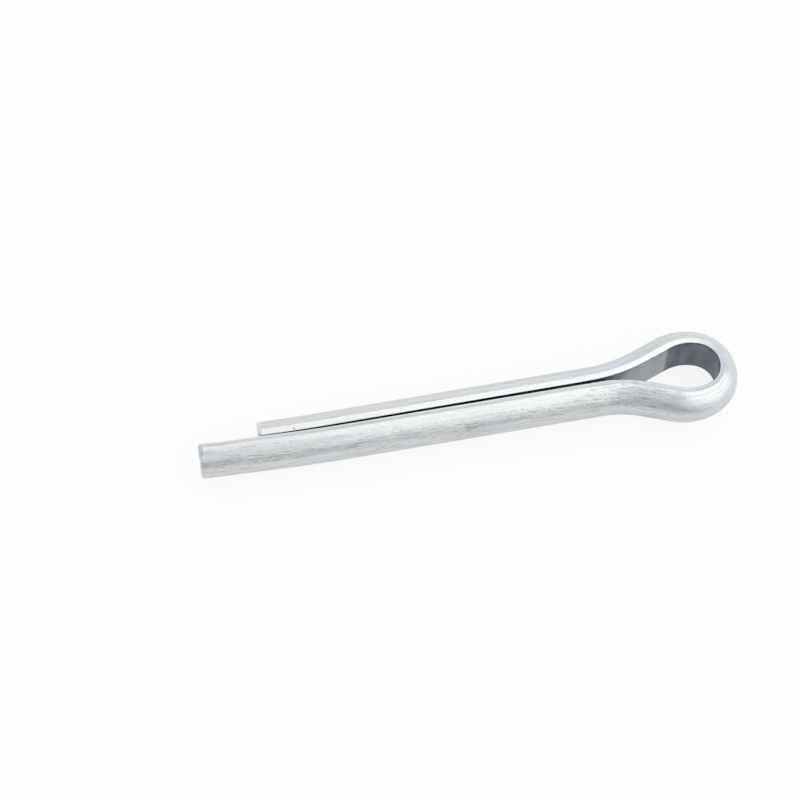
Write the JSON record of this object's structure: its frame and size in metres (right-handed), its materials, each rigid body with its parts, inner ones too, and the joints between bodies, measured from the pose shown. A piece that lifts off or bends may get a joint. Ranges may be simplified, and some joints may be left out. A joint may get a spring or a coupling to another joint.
{
  "type": "cotter pin",
  "caption": "Split pin bent from half-round wire, with an open eye and a straight shank whose prongs differ in length.",
  "frame": {"origin": "on the shank's axis, where the straight shank meets the eye", "axes": "+X along the shank from the prong ends to the eye, +Z square to the flat of the eye, +Y from the long leg to the short one"},
  "size_m": [0.0485, 0.0086, 0.0044],
  "materials": {
    "zinc": "bright bluish zinc plate over drawn wire, satin along its length"
  },
  "bodies": {
    "root": {"cotter_pin": "zinc"}
  },
  "joints": []
}
